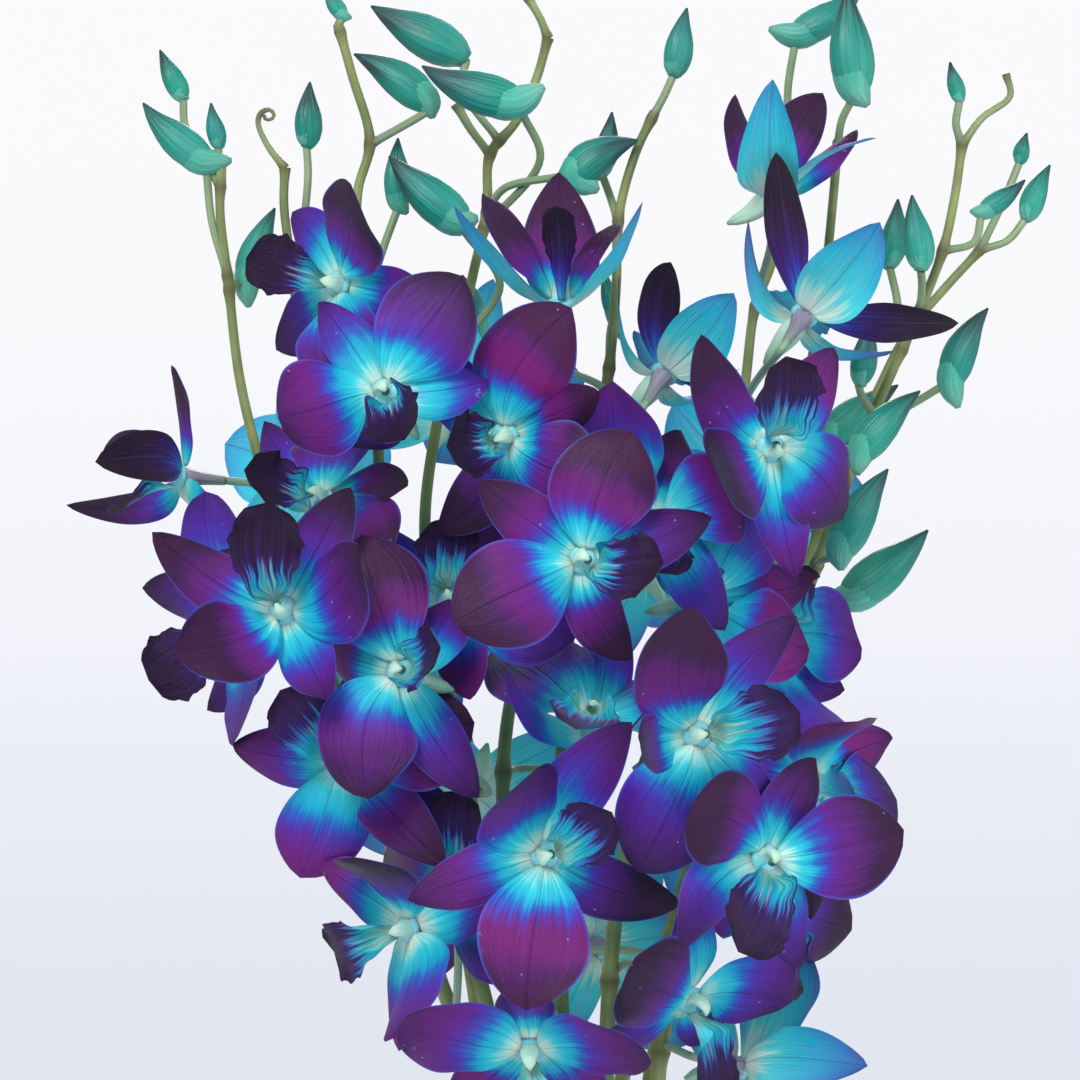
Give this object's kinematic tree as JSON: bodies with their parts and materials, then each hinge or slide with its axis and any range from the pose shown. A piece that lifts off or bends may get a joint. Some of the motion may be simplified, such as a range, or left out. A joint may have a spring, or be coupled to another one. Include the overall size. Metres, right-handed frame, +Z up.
{
  "type": "dendrobium orchid in vase",
  "caption": "Cut sprays of violet and turquoise dendrobium orchids with buds, standing in a plain clear glass cylinder vase of water",
  "frame": {"origin": "The middle of the vase's flat underside.", "axes": "+Z is up. The picture looks along +Y, with +X to its right. -Y is the front."},
  "size_m": [0.2864, 0.224, 0.5552],
  "materials": {
    "glass": "clear polished glass",
    "water": "clear still water",
    "stem": "fresh green stem, satin",
    "bloom": "fresh petals, satin, violet with a turquoise throat"
  },
  "bodies": {
    "root": {"vase": "glass", "water": "water", "spray_stem_01": "stem", "spray_stem_02": "stem", "spray_stem_03": "stem", "spray_stem_04": "stem", "spray_stem_05": "stem", "spray_stem_06": "stem", "spray_stem_07": "stem", "spray_stem_08": "stem", "spray_stem_09": "stem", "spray_stem_10": "stem", "bloom_01": "bloom", "bloom_02": "bloom", "bloom_03": "bloom", "bloom_04": "bloom", "bloom_05": "bloom", "bloom_06": "bloom", "bloom_07": "bloom", "bloom_08": "bloom", "bloom_09": "bloom", "bloom_10": "bloom", "bloom_11": "bloom", "bloom_12": "bloom", "bloom_13": "bloom", "bloom_14": "bloom", "bloom_15": "bloom", "bloom_16": "bloom", "bloom_17": "bloom", "bloom_18": "bloom", "bloom_19": "bloom", "bloom_20": "bloom", "bloom_21": "bloom", "bloom_22": "bloom", "bloom_23": "bloom", "bloom_24": "bloom", "bloom_25": "bloom", "bloom_26": "bloom", "bloom_27": "bloom", "bloom_28": "bloom", "bloom_29": "bloom", "bloom_30": "bloom", "bloom_31": "bloom", "bloom_32": "bloom", "bloom_33": "bloom", "bloom_34": "bloom", "bloom_35": "bloom", "bloom_36": "bloom", "bloom_37": "bloom", "bloom_38": "bloom"}
  },
  "joints": []
}
